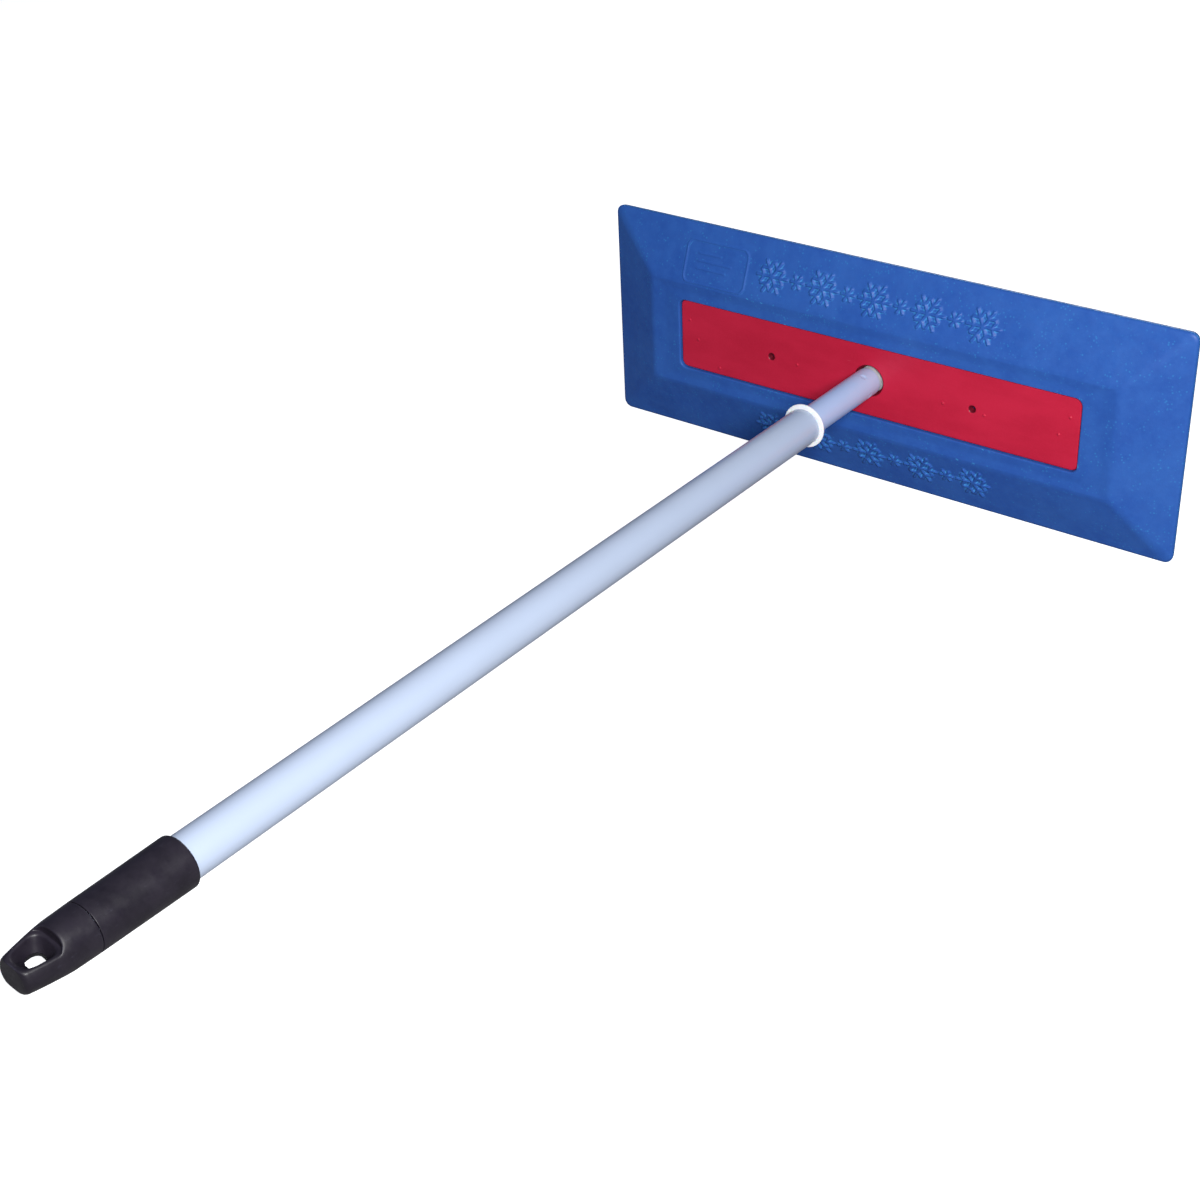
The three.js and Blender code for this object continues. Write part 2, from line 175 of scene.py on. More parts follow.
# Grip: places are (radius, y), and a power is 2 for an oval and more for a squarer outline.
GRIP_SEAM_RADIUS = 13.45
TAPER_START = (13.1, -694)
TAPER_BEND = (12.6, -702)
SHOULDER_END = (10, -716.8)
TIP_BEND_RADIUS = 9.3
TIP_FLAT_RADIUS = 6.8
HANG_HOLE_Y = -706.5
HANG_HOLE_RADIUS = 4.6
HANG_HOLE_TURN = math.radians(78)
FLAT_DEPTH = 7.2
FLAT_FRONT_Y = -697.7
FLAT_HALF_LENGTH = 24
FLAT_HALF_WIDTH = 11
FLAT_POWER = 5
BOWL_FRONT_Y = -699
BOWL_REAR_Y = -717.6
BOWL_HALF_WIDTH = 7.4
BOWL_WIDENING = 1.4
BOWL_POWER = 3.3

ROUND_STEPS = 128


# ---- Mesh helpers ----


def rounded(corners, closed=True, arc_steps=5, support=0.5):
    """A profile with arcs at its corners, each given as (a, b, arc radius). Every straight run gets a
    point near both of its ends, which keeps smooth shading flat between the arcs."""
    spots = [np.array(corner[:2], float) for corner in corners]
    count = len(spots)

    def direction(start, end):
        line = spots[end % count] - spots[start]
        return line / np.linalg.norm(line)

    arcs = []
    for i, (_, _, radius) in enumerate(corners):
        if radius == 0:
            arcs.append([spots[i]])
            continue
        back, ahead = direction(i, i - 1), direction(i, i + 1)
        half_angle = math.acos(back @ ahead) / 2
        middle = (back + ahead) / np.linalg.norm(back + ahead)
        centre = spots[i] + middle * radius / math.sin(half_angle)
        first = spots[i] + back * radius / math.tan(half_angle) - centre
        last = spots[i] + ahead * radius / math.tan(half_angle) - centre
        sweep = math.pi - 2 * half_angle
        shares = [step / arc_steps for step in range(arc_steps + 1)]
        arcs.append(
            [
                centre + (first * math.sin((1 - t) * sweep) + last * math.sin(t * sweep)) / math.sin(sweep)
                for t in shares
            ]
        )
    points = []
    for i, arc in enumerate(arcs):
        points.extend(arc)
        if i == count - 1 and not closed:
            break
        start, end = arc[-1], arcs[(i + 1) % count][0]
        length = np.linalg.norm(end - start)
        step = (end - start) * min(support, length / 3) / max(length, 1e-9)
        if length > 0.2:
            points.extend([start + step, end - step])
    return np.array(points)


def divided(points, longest):
    """A profile whose steps are cut until none is longer than longest says at its middle."""
    result = [points[0]]
    for start, end in zip(points[:-1], points[1:]):
        pieces = math.ceil(np.linalg.norm(end - start) / longest((start + end) / 2))
        result.extend(start + (end - start) * i / pieces for i in range(1, pieces + 1))
    return np.array(result)


def loft_faces(row_count, row_length, closed):
    """Quads that join rows of points, each row a closed loop; closed joins the last row to the first."""
    row = np.arange(row_count if closed else row_count - 1)[:, None]
    column = np.arange(row_length)[None, :]
    next_row = (row + 1) % row_count * row_length
    next_column = (column + 1) % row_length
    here = row * row_length
    quads = [here + column, here + next_column, next_row + next_column, next_row + column]
    return np.stack(quads, -1).reshape(-1, 4)


def turned(profile, steps=ROUND_STEPS):
    """Rows of points that turn a profile of (radius, y) about the pole axis."""
    angle = np.arange(steps) * FULL_TURN / steps
    radius = profile[:, :1]
    y = np.repeat(profile[:, 1:], steps, 1)
    return np.stack([radius * np.cos(angle), y, radius * np.sin(angle)], -1)


def add_piece(name, body, material, points, faces, normals=None):
    """A finished piece in place of the CAD node of the same place, from tool-millimetre points."""
    mesh = bpy.data.meshes.new(name)
    mesh.from_pydata((points * MM).tolist(), [], faces.tolist())
    if normals is None:
        shape = bmesh.new()
        shape.from_mesh(mesh)
        bmesh.ops.remove_doubles(shape, verts=shape.verts, dist=1e-6)
        bmesh.ops.recalc_face_normals(shape, faces=shape.faces)
        shape.to_mesh(mesh)
        shape.free()
    mesh.shade_smooth()
    if normals is not None:
        mesh.normals_split_custom_set_from_vertices(normals.tolist())
    mesh.materials.append(material)
    piece = bpy.data.objects.new(name, mesh)
    bpy.context.scene.collection.objects.link(piece)
    piece.matrix_world = TOOL
    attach(piece, body)
    return piece


def add_loft(name, body, material, rows, closed=False):
    """A piece whose skin runs through rows of points."""
    faces = loft_faces(len(rows), len(rows[0]), closed)
    return add_piece(name, body, material, rows.reshape(-1, 3), faces)


# ---- Solids given by a distance, for shapes with holes ----


def smooth_max(a, b, width):
    """The larger of two distances, with a soft edge where they meet."""
    blend = np.clip(width - np.abs(a - b), 0, None) / width
    return np.maximum(a, b) + blend**2 * width / 4


def smooth_min(a, b, width):
    return -smooth_max(-a, -b, width)


def box_distance(u, v, half_u, half_v, corner):
    """Distance to a rounded rectangle's outline in a plane, negative inside."""
    over_u = np.abs(u) - half_u + corner
    over_v = np.abs(v) - half_v + corner
    outside = np.hypot(np.maximum(over_u, 0), np.maximum(over_v, 0))
    return outside + np.minimum(np.maximum(over_u, over_v), 0) - corner


def slope_of(field, points):
    """The gradient of a distance field at some points."""
    step = 0.02
    parts = []
    for axis in range(3):
        shift = np.zeros(3)
        shift[axis] = step
        parts.append((field(points + shift) - field(points - shift)) / (2 * step))
    return np.stack(parts, -1)


def settle(field, points, rounds):
    """Moves points onto the surface where the field is zero."""
    for _ in range(rounds):
        slope = slope_of(field, points)
        steepness = np.maximum((slope**2).sum(-1), 0.05)
        move = (field(points) / steepness)[:, None] * slope
        points = points - np.clip(move, -0.6, 0.6)
    return points


def evened(points, faces):
    """Points moved halfway to the middle of the points round them."""
    total = np.zeros_like(points)
    tally = np.zeros(len(points))
    for side in range(4):
        for neighbour in (1, 3):
            target, source = faces[:, side], faces[:, (side + neighbour) % 4]
            for axis in range(3):
                total[:, axis] += np.bincount(target, points[source, axis], len(points))
            tally += np.bincount(target, minlength=len(points))
    return (points + total / tally[:, None]) / 2


def skin(field, xs, ys, zs):
    """A closed quad mesh on the surface where the field is zero, negative inside, and its normals. It
    has one point in each grid cell that the surface crosses."""
    inside = field(np.stack(np.meshgrid(xs, ys, zs, indexing="ij"), -1)) < 0
    cell_shape = [size - 1 for size in inside.shape]
    solid_corners = np.zeros(cell_shape, int)
    for i in (0, 1):
        for j in (0, 1):
            for k in (0, 1):
                corner = inside[i : i + cell_shape[0], j : j + cell_shape[1], k : k + cell_shape[2]]
                solid_corners += corner
    crossed = (solid_corners > 0) & (solid_corners < 8)
    number = np.full(cell_shape, -1)
    number[crossed] = np.arange(crossed.sum())
    cells = np.argwhere(crossed)
    middles = [(line[1:] + line[:-1]) / 2 for line in (xs, ys, zs)]
    points = np.stack([middles[axis][cells[:, axis]] for axis in range(3)], -1)
    faces = []
    for axis in range(3):
        one, two = (axis + 1) % 3, (axis + 2) % 3
        changes = np.argwhere(np.diff(inside.astype(np.int8), axis=axis) != 0)
        starts = inside[tuple(changes.T)]
        around = []
        for step_one, step_two in ((-1, -1), (0, -1), (0, 0), (-1, 0)):
            cell = changes.copy()
            cell[:, one] += step_one
            cell[:, two] += step_two
            around.append(number[tuple(cell.T)])
        quads = np.stack(around, -1)
        quads[~starts] = quads[~starts, ::-1]
        faces.append(quads)
    faces = np.concatenate(faces)
    points = settle(field, points, 10)
    for _ in range(3):
        points = settle(field, evened(points, faces), 3)
    normals = slope_of(field, points)
    return points, faces, normals / np.linalg.norm(normals, axis=1)[:, None]


def add_skin(name, body, slot, material, field, xs, ys, zs):
    points, faces, normals = skin(field, xs, ys, zs)
    return add_piece(name, body, material, points, faces, normals)


def stations(low, high, coarse, fine_zones):
    """Grid places from low to high, coarse apart from zones of (from, to, step)."""
    places = [low]
    while places[-1] < high:
        here = places[-1]
        steps = [step for start, end, step in fine_zones if start <= here < end]
        step = min(steps, default=coarse)
        ahead = [start for start, _, _ in fine_zones if start > here]
        places.append(min([here + step] + ahead))
    return np.array(places)


# ---- Materials ----


class Finish:
    """One material's node tree, with short calls for its textures. Sizes are in millimetres."""

    def __init__(self, name):
        self.material = bpy.data.materials.new(name)
        self.material.use_nodes = True
        self.tree = self.material.node_tree
        self.shader = self.tree.nodes["Principled BSDF"]
        self.place = self.tree.nodes.new("ShaderNodeTexCoord").outputs["Object"]

    def feed(self, socket, value):
        if isinstance(value, bpy.types.NodeSocket):
            self.tree.links.new(value, socket)
        else:
            socket.default_value = value

    def node(self, kind, inputs, **settings):
        made = self.tree.nodes.new(kind)
        for key, value in settings.items():
            setattr(made, key, value)
        for key, value in inputs.items():
            self.feed(made.inputs[key], value)
        return made

    def stretched(self, x, y, z):
        """Object coordinates scaled along each axis, for streaks."""
        return self.node("ShaderNodeMapping", {"Vector": self.place, "Scale": (x, y, z)}).outputs[0]

    def noise(self, size, detail=2.0, roughness=0.5, place=None):
        inputs = {"Vector": place or self.place, "Scale": 1 / (size * MM)}
        inputs.update({"Detail": detail, "Roughness": roughness})
        return self.node("ShaderNodeTexNoise", inputs).outputs["Fac"]

    def cells(self, size, feature="F1"):
        inputs = {"Vector": self.place, "Scale": 1 / (size * MM)}
        return self.node("ShaderNodeTexVoronoi", inputs, feature=feature).outputs["Distance"]

    def ramp(self, value, low, high, to_low=0.0, to_high=1.0):
        """A value carried from one span to another, smoothly and with its ends held."""
        inputs = {"Value": value, "From Min": low, "From Max": high}
        inputs.update({"To Min": to_low, "To Max": to_high})
        return self.node("ShaderNodeMapRange", inputs, interpolation_type="SMOOTHSTEP").outputs[0]

    def math(self, operation, a, b):
        return self.node("ShaderNodeMath", {0: a, 1: b}, operation=operation).outputs[0]

    def mix(self, share, first, second):
        """A colour between two others. The node's sockets 6, 7 and 2 are its colour ones."""
        inputs = {0: share, 6: first, 7: second}
        return self.node("ShaderNodeMix", inputs, data_type="RGBA").outputs[2]

    def bump(self, height, depth, before=None):
        """A normal that stands the height up by a depth."""
        inputs = {"Height": height, "Distance": depth * MM, "Strength": 1.0}
        if before is not None:
            inputs["Normal"] = before
        return self.node("ShaderNodeBump", inputs).outputs[0]

    def off_line(self, x, z):
        """Distance, in metres, from a line that runs along the tool through a place across it."""
        flat = self.stretched(1, 0, 1)
        centre = (x * MM, 0, z * MM)
        return self.node("ShaderNodeVectorMath", {0: flat, 1: centre}, operation="DISTANCE").outputs["Value"]

    def edges(self, low, high):
        """Near 1 on outward edges and 0 on flat skin."""
        geometry = self.tree.nodes.new("ShaderNodeNewGeometry")
        return self.ramp(geometry.outputs["Pointiness"], low, high)

    def done(self, **inputs):
        for key, value in inputs.items():
            self.feed(self.shader.inputs[key.replace("_", " ")], value)
        return self.material


def grey(value):
    return (value, value, value, 1)


def foam_finish():
    """Closed-cell foam with a moulded skin: soft sheen, fine grain and mottled blue, with pale cyan specks
    painted in as glints and a painted highlight along its edges."""
    f = Finish("blue_foam")
    mottle = f.ramp(f.noise(38, 4, 0.6), 0.35, 0.65)
    blotches = f.ramp(f.noise(7, 5, 0.65), 0.3, 0.75)
    colour = f.mix(mottle, (0.019, 0.084, 0.36, 1), (0.025, 0.102, 0.39, 1))
    colour = f.mix(f.math("MULTIPLY", blotches, 0.35), colour, (0.033, 0.135, 0.47, 1))
    # Painted glints: small pale cyan cells, gathered in patches, stand in for glints of light on the foam's
    # grain.
    glint_cells = f.ramp(f.cells(2.4), 0.34, 0.14)
    glint_patches = f.ramp(f.noise(9, 4, 0.7), 0.46, 0.62)
    painted_glints = f.math("MULTIPLY", glint_cells, f.math("MULTIPLY", glint_patches, 0.45))
    colour = f.mix(painted_glints, colour, (0.035, 0.24, 0.54, 1))
    # Painted highlight: outward edges and the ridges of the raised marks are made paler, as where light
    # catches them.
    edge = f.math("MULTIPLY", f.edges(0.512, 0.555), 0.6)
    colour = f.mix(edge, colour, (0.06, 0.33, 0.66, 1))
    grain = f.bump(f.noise(0.9, 3, 0.6), 0.05)
    grain = f.bump(f.noise(3.2, 2, 0.5), 0.10, grain)
    grain = f.bump(f.cells(1.3, feature="SMOOTH_F1"), 0.03, grain)
    roughness = f.ramp(f.noise(5, 3, 0.6), 0.3, 0.7, 0.42, 0.56)
    return f.done(Base_Color=colour, Roughness=roughness, Normal=grain, Specular_IOR_Level=0.3)


def plate_finish():
    """Moulded red plastic: satin, faint flow marks, fine texture, a few pale scuffs, and painted shade in
    the two small holes and the pole's mouth.
    """
    f = Finish("red_plastic")
    flow = f.ramp(f.noise(24, 4, 0.6, f.stretched(0.35, 1, 1)), 0.3, 0.7)
    colour = f.mix(flow, (0.48, 0.009, 0.036, 1), (0.56, 0.014, 0.048, 1))
    fine = f.ramp(f.noise(1.4, 4, 0.7), 0.35, 0.7)
    colour = f.mix(f.math("MULTIPLY", fine, 0.22), colour, (0.60, 0.022, 0.068, 1))
    scuffs = f.ramp(f.noise(3, 5, 0.75, f.stretched(0.12, 1, 1)), 0.66, 0.78)
    colour = f.mix(f.math("MULTIPLY", scuffs, 0.25), colour, (0.72, 0.20, 0.26, 1))
    # Painted shade: the plate's colour goes almost black inside the two small holes and the pole's mouth,
    # where shade falls in the hollows.
    for centre_x, centre_z, radius in (
        (-PLATE_HOLE_OFFSET, -PLATE_HOLE_DROP, PLATE_HOLE_RADIUS),
        (PLATE_HOLE_OFFSET, -PLATE_HOLE_DROP, PLATE_HOLE_RADIUS),
        (0, 0, MOUTH_RADIUS),
    ):
        dirt_and_painted_shade = f.ramp(f.off_line(centre_x, centre_z), (radius + 0.4) * MM, (radius - 0.3) * MM)
        colour = f.mix(f.math("MULTIPLY", dirt_and_painted_shade, 0.85), colour, (0.05, 0.003, 0.008, 1))
    grain = f.bump(f.noise(0.7, 3, 0.6), 0.018)
    grain = f.bump(f.noise(14, 2, 0.5), 0.10, grain)
    roughness = f.ramp(f.noise(4, 4, 0.6), 0.3, 0.7, 0.33, 0.46)
    return f.done(Base_Color=colour, Roughness=roughness, Normal=grain, Specular_IOR_Level=0.3)


def paint_finish(name, base, rubbed):
    """Pale powder coat on steel tube: orange peel, faint dirt, and rub marks along the pole."""
    f = Finish(name)
    tone = f.ramp(f.noise(30, 3, 0.5), 0.35, 0.65)
    colour = f.mix(tone, base, tuple(channel * 0.985 for channel in base[:3]) + (1,))
    streaks = f.ramp(f.noise(1.6, 5, 0.7, f.stretched(1, 0.03, 1)), 0.60, 0.80)
    colour = f.mix(f.math("MULTIPLY", streaks, rubbed), colour, (0.36, 0.37, 0.43, 1))
    spots = f.math("MULTIPLY", f.ramp(f.cells(9), 0.07, 0.03), f.ramp(f.noise(30), 0.64, 0.68))
    colour = f.mix(f.math("MULTIPLY", spots, 0.5), colour, (0.22, 0.22, 0.26, 1))
    peel = f.bump(f.noise(1.5, 2, 0.45), 0.012)
    peel = f.bump(f.noise(0.5, 2, 0.5), 0.004, peel)
    roughness = f.ramp(f.noise(9, 3, 0.6), 0.3, 0.7, 0.29, 0.34)
    return f.done(Base_Color=colour, Roughness=roughness, Normal=peel, Coat_Weight=0.15)


def collar_finish():
    """White polyethylene: slightly waxy, with fine turning marks and grey where it has rubbed."""
    f = Finish("white_plastic")
    tone = f.ramp(f.noise(6, 4, 0.6), 0.3, 0.7)
    colour = f.mix(tone, (0.86, 0.87, 0.88, 1), (0.93, 0.93, 0.93, 1))
    dirt_and_painted_shade = f.ramp(f.noise(2.2, 5, 0.7), 0.6, 0.75)
    colour = f.mix(f.math("MULTIPLY", dirt_and_painted_shade, 0.18), colour, (0.45, 0.46, 0.50, 1))
    grain = f.bump(f.noise(0.8, 3, 0.6), 0.012)
    return f.done(
        Base_Color=colour,
        Roughness=f.ramp(tone, 0, 1, 0.38, 0.5),
        Normal=grain,
        Subsurface_Weight=0.12,
        Subsurface_Scale=0.002,
    )


def grip_finish():
    """Black moulded polypropylene: spark-eroded grain, greyer scuffs and shinier handled patches."""
    f = Finish("black_plastic")
    tone = f.ramp(f.noise(16, 4, 0.6), 0.35, 0.65)
    colour = f.mix(tone, (0.008, 0.006, 0.011, 1), (0.014, 0.011, 0.018, 1))
    scuffs = f.ramp(f.noise(2.5, 5, 0.75, f.stretched(1, 0.25, 1)), 0.60, 0.76)
    colour = f.mix(f.math("MULTIPLY", scuffs, 0.35), colour, (0.045, 0.045, 0.065, 1))
    worn = f.math("MULTIPLY", f.edges(0.52, 0.58), 0.5)
    colour = f.mix(worn, colour, (0.09, 0.09, 0.13, 1))
    grain = f.bump(f.noise(0.45, 3, 0.65), 0.02)
    grain = f.bump(f.noise(6, 3, 0.5), 0.06, grain)
    roughness = f.ramp(f.noise(7, 4, 0.6), 0.3, 0.7, 0.36, 0.52)
    return f.done(Base_Color=colour, Roughness=roughness, Normal=grain, Specular_IOR_Level=0.35)


def lock_finish():
    """Pale acetal of the hidden fittings: fine grain, a little grease and pale wear on its edges."""
    f = Finish("pale_plastic")
    tone = f.ramp(f.noise(5, 4, 0.6), 0.3, 0.7)
    colour = f.mix(tone, (0.50, 0.51, 0.54, 1), (0.60, 0.61, 0.64, 1))
    worn = f.math("MULTIPLY", f.edges(0.52, 0.6), 0.4)
    colour = f.mix(worn, colour, (0.75, 0.76, 0.78, 1))
    grain = f.bump(f.noise(0.5, 3, 0.6), 0.015)
    roughness = f.ramp(f.noise(3, 4, 0.6), 0.3, 0.7, 0.34, 0.5)
    return f.done(Base_Color=colour, Roughness=roughness, Normal=grain)


def floor_finish():
    """Plain pale studio floor. It glows a little to the camera only, as a lit sweep does, and throws
    less light back at the tool, which keeps the undersides of the pole and the head dark."""
    f = Finish("pale_floor")
    seen = f.node("ShaderNodeLightPath", {}).outputs["Is Camera Ray"]
    tone = f.ramp(f.noise(260, 3, 0.5), 0.3, 0.7)
    pale = f.mix(tone, grey(0.88), grey(0.92))
    colour = f.mix(seen, grey(0.25), pale)
    glow = f.math("MULTIPLY", seen, FLOOR_GLOW)
    return f.done(
        Base_Color=colour,
        Roughness=0.8,
        Specular_IOR_Level=0.1,
        Emission_Color=grey(1),
        Emission_Strength=glow,
    )


# ---- Foam head ----


def segment_distance(u, v, start, end):
    """Distance from points in a plane to a straight stroke."""
    line = np.array(end) - np.array(start)
    along = np.clip(((u - start[0]) * line[0] + (v - start[1]) * line[1]) / (line @ line), 0, 1)
    return np.hypot(u - start[0] - along * line[0], v - start[1] - along * line[1])


def flake_distance(u, v, radius, branched):
    """Distance to the strokes of a six-armed snowflake, seen through its mirror symmetry: an arm and,
    on a branched one, a side branch."""
    sector = FULL_TURN / 6
    reach = np.hypot(u, v)
    turn = np.abs((np.arctan2(v, u) + sector / 2) % sector - sector / 2)
    along, aside = reach * np.cos(turn), reach * np.sin(turn)
    arm = segment_distance(along, aside, (0, 0), (radius, 0))
    if not branched:
        return arm
    root, length = radius * BRANCH_PLACE, radius * BRANCH_LENGTH
    end = (root + length * math.cos(sector), length * math.sin(sector))
    return np.minimum(arm, segment_distance(along, aside, (root, 0), end))


def stroke_height(distance, width, height):
    """A raised stroke with soft shoulders, from the distance to its middle line."""
    share = np.clip((width * 0.85 - distance) / (width * 0.7), 0, 1)
    return height * share**2 * (3 - 2 * share)


def bevel_relief(x, z):
    """Height of the raised marks on the upper and lower bevels: a row of snowflakes on each, and a
    plain framed panel of bars at the upper left."""
    slope = math.hypot(BEVEL_WIDTH, HEAD_BEVEL_RISE) / BEVEL_WIDTH
    v = (np.abs(z) - (head.half_height - FLAKE_INSET)) * slope
    height = np.zeros_like(x)
    for i in range(2 * FLAKE_COUNT - 1):
        large = i % 2 == 0
        centre = (i - FLAKE_COUNT + 1) * FLAKE_PITCH / 2
        flake = flake_distance(x - centre, v, FLAKE_RADIUS if large else SMALL_FLAKE_RADIUS, large)
        height = np.maximum(height, stroke_height(flake, RELIEF_LINE / 2, RELIEF_HEIGHT))
    outline = box_distance(x - PANEL_X, z - PANEL_Z, PANEL_HALF_WIDTH, PANEL_HALF_HEIGHT, PANEL_CORNER)
    panel = stroke_height(np.abs(outline), PANEL_LINE / 2, PANEL_HEIGHT)
    for row, length in enumerate(BAR_LENGTHS):
        bar_z = BAR_TOP - BAR_PITCH * row
        bar = segment_distance(x, z, (BAR_START, bar_z), (BAR_START + length, bar_z))
        panel = np.maximum(panel, stroke_height(bar, PANEL_LINE / 2, PANEL_HEIGHT))
    return np.maximum(height, np.where(z > 0, panel, 0))


def foam_waves(x, z):
    """The slight unevenness of a moulded foam skin."""
    random = np.random.default_rng(7)
    height = np.zeros_like(x)
    for _ in range(9):
        heading = random.uniform(0, FULL_TURN)
        length = random.uniform(14, 60)
        phase = random.uniform(0, FULL_TURN)
        along = x * math.cos(heading) + z * math.sin(heading)
        height += 0.035 * np.sin(along * FULL_TURN / length + phase)
    return height


def head_loop(half_width, half_height, corner, y):
    """A rounded rectangle whose points lie closer where the bevels carry raised marks."""
    corner_steps = 8
    long_side = np.linspace(-1, 1, 560)
    short_side = np.linspace(-1, 1, 44)
    points = []
    for quarter in range(4):
        side_x = (1, -1, -1, 1)[quarter]
        side_z = (1, 1, -1, -1)[quarter]
        centre = np.array([side_x * (half_width - corner), side_z * (half_height - corner)])
        for step in range(corner_steps + 1):
            angle = (quarter + step / corner_steps) * FULL_TURN / 4
            points.append(centre + corner * np.array([math.cos(angle), math.sin(angle)]))
        if quarter % 2 == 0:
            run = -side_x * long_side[1:-1] * (half_width - corner)
            points.extend(np.stack([run, np.full_like(run, side_z * half_height)], -1))
        else:
            run = -side_z * short_side[1:-1] * (half_height - corner)
            points.extend(np.stack([np.full_like(run, side_x * half_width), run], -1))
    points = np.array(points)
    return np.insert(points, 1, y, axis=1)


def foam_profile(recess_inset, recess_floor):
    """(inset from the outline, y) from the flat front round the edge, up the bevel, over the crest and
    the dished band, and down into the recess."""
    profile = rounded(
        [
            (head.half_height, head.front, 0),
            (0, head.front, FRONT_ROUND),
            (0, 0, BACK_EDGE_ROUND),
            (BEVEL_WIDTH, head.rear, CREST_ROUND),
            ((BEVEL_WIDTH + recess_inset) / 2, head.rear + DISH_DEPTH, 60),
            (recess_inset, head.rear, LIP_ROUND),
            (recess_inset, recess_floor, 0.3),
            (recess_inset + 1, recess_floor, 0),
        ],
        closed=False,
        arc_steps=6,
    )
    return divided(profile, lambda spot: FRONT_SPACING if spot[1] > head.front - 1 else RELIEF_SPACING)


def foam_rows(profile, recess_inset, recess_floor):
    """A loop round the head for each place in the profile, then the pocket for the plate's boss. Past
    the crest, the loops close in faster along the height, so that the last one fits the plate."""
    band_height = head.half_height - plate.half_height - RECESS_GAP - BEVEL_WIDTH
    band_share = band_height / (recess_inset - BEVEL_WIDTH)
    rows = []
    for inset, y in profile:
        past_crest = max(inset - BEVEL_WIDTH, 0)
        inset_z = inset - past_crest + past_crest * band_share
        if y > 0:
            inset_z = inset
            corner = OUTLINE_CORNER * max(1 - inset / 20, 0)
        elif past_crest == 0:
            corner = OUTLINE_CORNER + (CREST_CORNER - OUTLINE_CORNER) * inset / BEVEL_WIDTH
        else:
            share = min(past_crest / (recess_inset - BEVEL_WIDTH), 1)
            corner = CREST_CORNER + (PLATE_CORNER + RECESS_GAP - CREST_CORNER) * share
        rows.append(head_loop(head.half_width - inset, head.half_height - inset_z, corner, y))
    last = rows[-1]
    turn = np.arctan2(last[:, 2], last[:, 0])
    pocket_radius = BOSS_RADIUS + RECESS_GAP
    pocket_floor = head.front - FOAM_SKIN
    for radius, y in ((pocket_radius, recess_floor), (pocket_radius, pocket_floor), (0, pocket_floor)):
        circle = np.stack([radius * np.cos(turn), np.full_like(turn, y), radius * np.sin(turn)], -1)
        rows.append(circle)
    return np.array(rows)


def foam_head():
    """The slab's skin with its raised marks and a little unevenness."""
    recess_floor = plate.rear + PLATE_THICKNESS + RECESS_GAP
    recess_inset = head.half_width - plate.half_width - RECESS_GAP
    rows = foam_rows(foam_profile(recess_inset, recess_floor), recess_inset, recess_floor)
    x, y, z = rows[..., 0], rows[..., 1], rows[..., 2]
    inset = np.minimum(head.half_width - np.abs(x), head.half_height - np.abs(z))
    recess = box_distance(x, z, plate.half_width, plate.half_height, PLATE_CORNER)
    on_back = (y < -0.8) & (inset > 2.5) & (recess > 1.5)
    on_bevel = on_back & (inset < BEVEL_WIDTH - 1)
    y -= np.where(on_bevel, bevel_relief(x, z), 0)
    fade = np.clip((recess - 1.5) / 4, 0, 1) * np.clip((inset - 2.5) / 4, 0, 1)
    y += np.where(on_back, foam_waves(x, z) * fade, 0)
    on_front = y > head.front - 0.01
    y -= np.where(on_front, 0.5 * np.abs(foam_waves(z, x)) * np.clip((inset - 10) / 6, 0, 1), 0)
    piece = add_loft("foam_head_moulded", "head", foam_finish(), rows)
    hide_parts("foam_head")


# ---- Mounting plate ----


def plate_field(points):
    """Plate with its boss and pole socket, two small holes and the pips that the mould leaves."""
    x, y, z = points[..., 0], points[..., 1], points[..., 2]
    face, back = plate.rear, plate.rear + PLATE_THICKNESS
    outline = box_distance(x, z, plate.half_width, plate.half_height, PLATE_CORNER)
    slab = smooth_max(outline, np.abs(y - (face + back) / 2) - PLATE_THICKNESS / 2, 1.5)
    radius = np.hypot(x, z)
    boss = smooth_max(radius - BOSS_RADIUS, np.maximum(face + 1 - y, y - plate.front), 1.2)
    solid = smooth_min(slab, boss, 1.5)
    for pip_x, pip_z in PLATE_PIPS:
        pip = np.sqrt((x - pip_x) ** 2 + (y - face - PIP_SINK) ** 2 + (z - pip_z) ** 2) - PIP_RADIUS
        solid = smooth_min(solid, pip, 0.4)
    mouth_floor = inner.front + 2 * RECESS_GAP + SHOULDER_LENGTH
    mouth = smooth_max(radius - MOUTH_RADIUS, y - mouth_floor, 0.5)
    socket = smooth_max(radius - SOCKET_RADIUS, y - (plate.front - SOCKET_FLOOR), 0.8)
    solid = smooth_max(solid, -mouth, 0.8)
    solid = smooth_max(solid, -socket, 0.6)
    for side in (-1, 1):
        hole_radius = PLATE_HOLE_RADIUS - PLATE_HOLE_TAPER * (y - face)
        hole = np.hypot(x - side * PLATE_HOLE_OFFSET, z + PLATE_HOLE_DROP) - hole_radius
        solid = smooth_max(solid, -hole * 0.9, 0.9)
    return solid


def mounting_plate():
    corner_zone = PLATE_CORNER + 2
    half_x, half_z = plate.half_width + 1, plate.half_height + 1
    zones_x = [(-half_x, -half_x + corner_zone, 0.5), (half_x - corner_zone, half_x, 0.5)]
    zones_x += [(-BOSS_RADIUS - 1.5, BOSS_RADIUS + 1.5, 0.6)]
    zones_x += [(side - 4, side + 4, 0.45) for side in (-PLATE_HOLE_OFFSET, PLATE_HOLE_OFFSET)]
    zones_x += [(pip_x - 2, pip_x + 2, 0.45) for pip_x, _ in PLATE_PIPS]
    zones_z = [(-half_z, -half_z + corner_zone, 0.5), (half_z - corner_zone, half_z, 0.5)]
    zones_z += [(-22, BOSS_RADIUS + 1.5, 0.6)]
    zones_y = [(plate.rear - 1, plate.rear + PLATE_THICKNESS + 1.5, 0.3)]
    piece = add_skin(
        "mounting_plate_moulded",
        "head",
        "plate_red",
        plate_finish(),
        plate_field,
        stations(-half_x, half_x, 3, zones_x),
        stations(plate.rear - 1, plate.front + 1, 0.6, zones_y),
        stations(-half_z, half_z, 3, zones_z),
    )
    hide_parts("mounting_plate")


# ---- Poles ----


